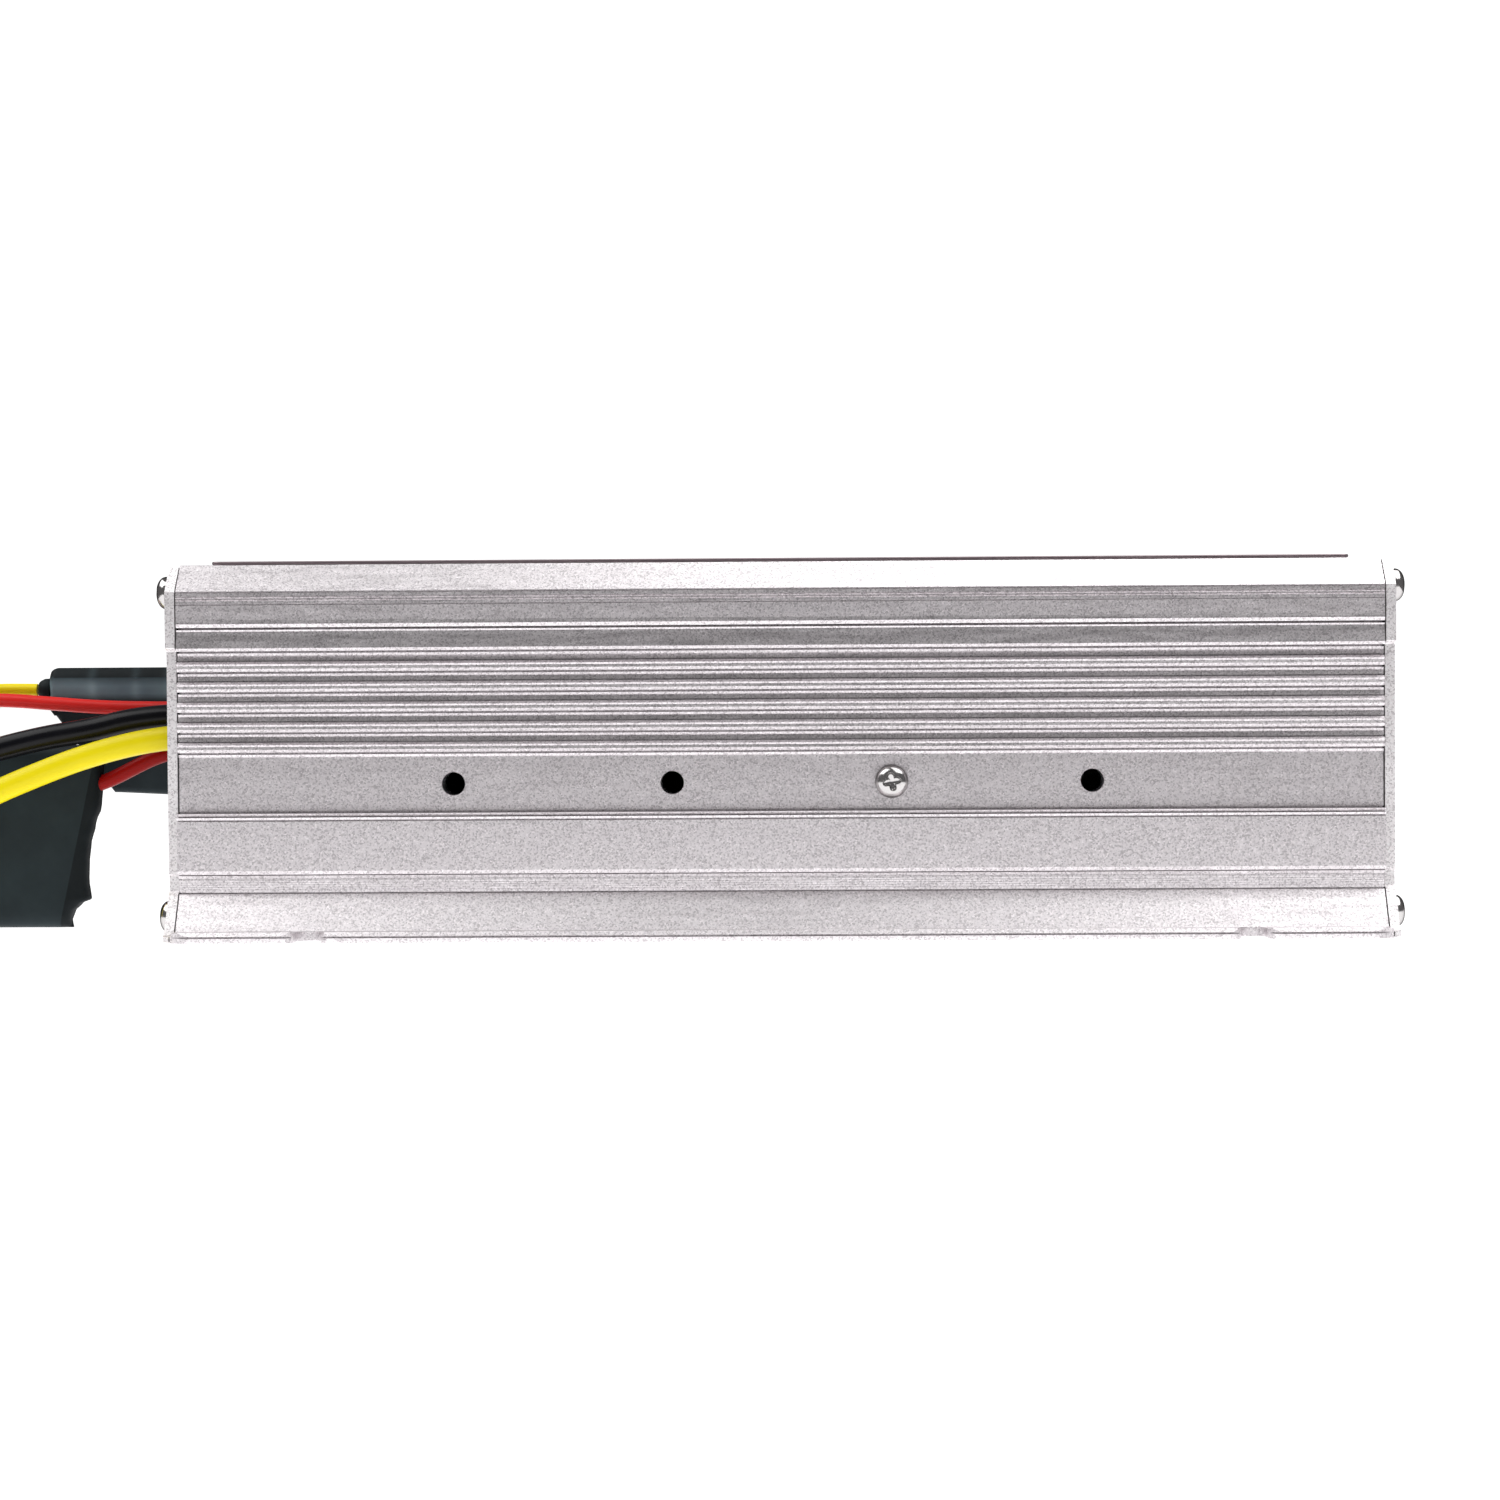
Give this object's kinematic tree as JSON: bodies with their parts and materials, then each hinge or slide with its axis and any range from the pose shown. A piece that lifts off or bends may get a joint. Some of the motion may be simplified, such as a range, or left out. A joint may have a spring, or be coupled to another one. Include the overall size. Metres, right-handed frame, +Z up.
{
  "type": "finned power converter module",
  "caption": "Finned aluminium power converter case with slotted base flanges, end plates, a nameplate and flying leads in sleeves.",
  "frame": {"origin": "centre of the case's footprint, on its underside", "axes": "+X along the extrusion, away from the end where the leads come out; -Y towards the long side that is seen; +Z up, out of the nameplate"},
  "size_m": [0.3495, 0.115, 0.0654],
  "materials": {
    "case_aluminium": "bead-blasted, satin, with a fine sparkle",
    "plate_aluminium": "satin sheet",
    "screw_steel": "bright nickel plate",
    "nameplate_film": "dark mauve-grey anodised sheet, no lettering",
    "gasket_rubber": "matt black",
    "grommet_rubber": "matt black",
    "board_laminate": "green solder mask",
    "bar_aluminium": "plain milled",
    "pad_silicone": "soft dark grey silicone",
    "moulded_black": "black moulding",
    "ferrite": "dark grey sintered ferrite",
    "taped_winding": "yellow polyester tape over copper",
    "copper_winding": "enamelled copper",
    "capacitor_can": "dark shrink film over a can",
    "film_block": "dipped red block",
    "fuse_plastic": "translucent green moulding",
    "terminal_plastic": "dark green moulding",
    "lead_black_pvc": "smooth black insulation",
    "lead_yellow_pvc": "smooth yellow insulation",
    "lead_red_pvc": "smooth red insulation",
    "lead_dark_red_pvc": "smooth red insulation",
    "tinned_copper": "tinned strands",
    "heat_shrink": "black heat-shrink sleeve with a soft sheen"
  },
  "bodies": {
    "root": {"housing_extrusion": "case_aluminium", "left_end_plate": "plate_aluminium", "right_end_plate": "plate_aluminium", "left_gasket": "gasket_rubber", "right_gasket": "gasket_rubber", "end_screw_left_front_lower": "screw_steel", "end_screw_left_front_upper": "screw_steel", "end_screw_left_back_lower": "screw_steel", "end_screw_left_back_upper": "screw_steel", "end_screw_right_front_lower": "screw_steel", "end_screw_right_front_upper": "screw_steel", "end_screw_right_back_lower": "screw_steel", "end_screw_right_back_upper": "screw_steel", "clamp_screw_front": "screw_steel", "clamp_screw_back": "screw_steel", "nameplate": "nameplate_film", "cable_grommet": "grommet_rubber", "main_board": "board_laminate", "heat_bar_front": "bar_aluminium", "heat_bar_back": "bar_aluminium", "heat_pad_front": "pad_silicone", "heat_pad_back": "pad_silicone", "switch_transistor_1": "moulded_black", "switch_transistor_2": "moulded_black", "switch_transistor_3": "moulded_black", "switch_transistor_4": "moulded_black", "switch_transistor_5": "moulded_black", "switch_transistor_6": "moulded_black", "rectifier_1": "moulded_black", "rectifier_2": "moulded_black", "rectifier_3": "moulded_black", "rectifier_4": "moulded_black", "transformer_core_lower": "ferrite", "transformer_core_upper": "ferrite", "transformer_winding": "taped_winding", "output_choke": "copper_winding", "input_capacitor_1": "capacitor_can", "input_capacitor_2": "capacitor_can", "input_capacitor_3": "capacitor_can", "output_capacitor": "capacitor_can", "film_capacitor": "film_block", "board_fuse": "fuse_plastic", "current_shunt": "copper_winding", "control_header": "moulded_black", "control_board": "board_laminate", "control_chip": "moulded_black", "lead_terminal_block": "terminal_plastic", "lead_black": "lead_black_pvc", "lead_yellow": "lead_yellow_pvc", "lead_red": "lead_red_pvc", "lead_yellow_thin": "lead_yellow_pvc", "lead_red_short": "lead_dark_red_pvc", "tinned_end_black": "tinned_copper", "tinned_end_yellow": "tinned_copper", "tinned_end_red": "tinned_copper", "tinned_end_yellow_thin": "tinned_copper", "rear_sleeve": "heat_shrink", "front_sleeve": "heat_shrink"}
  },
  "joints": []
}
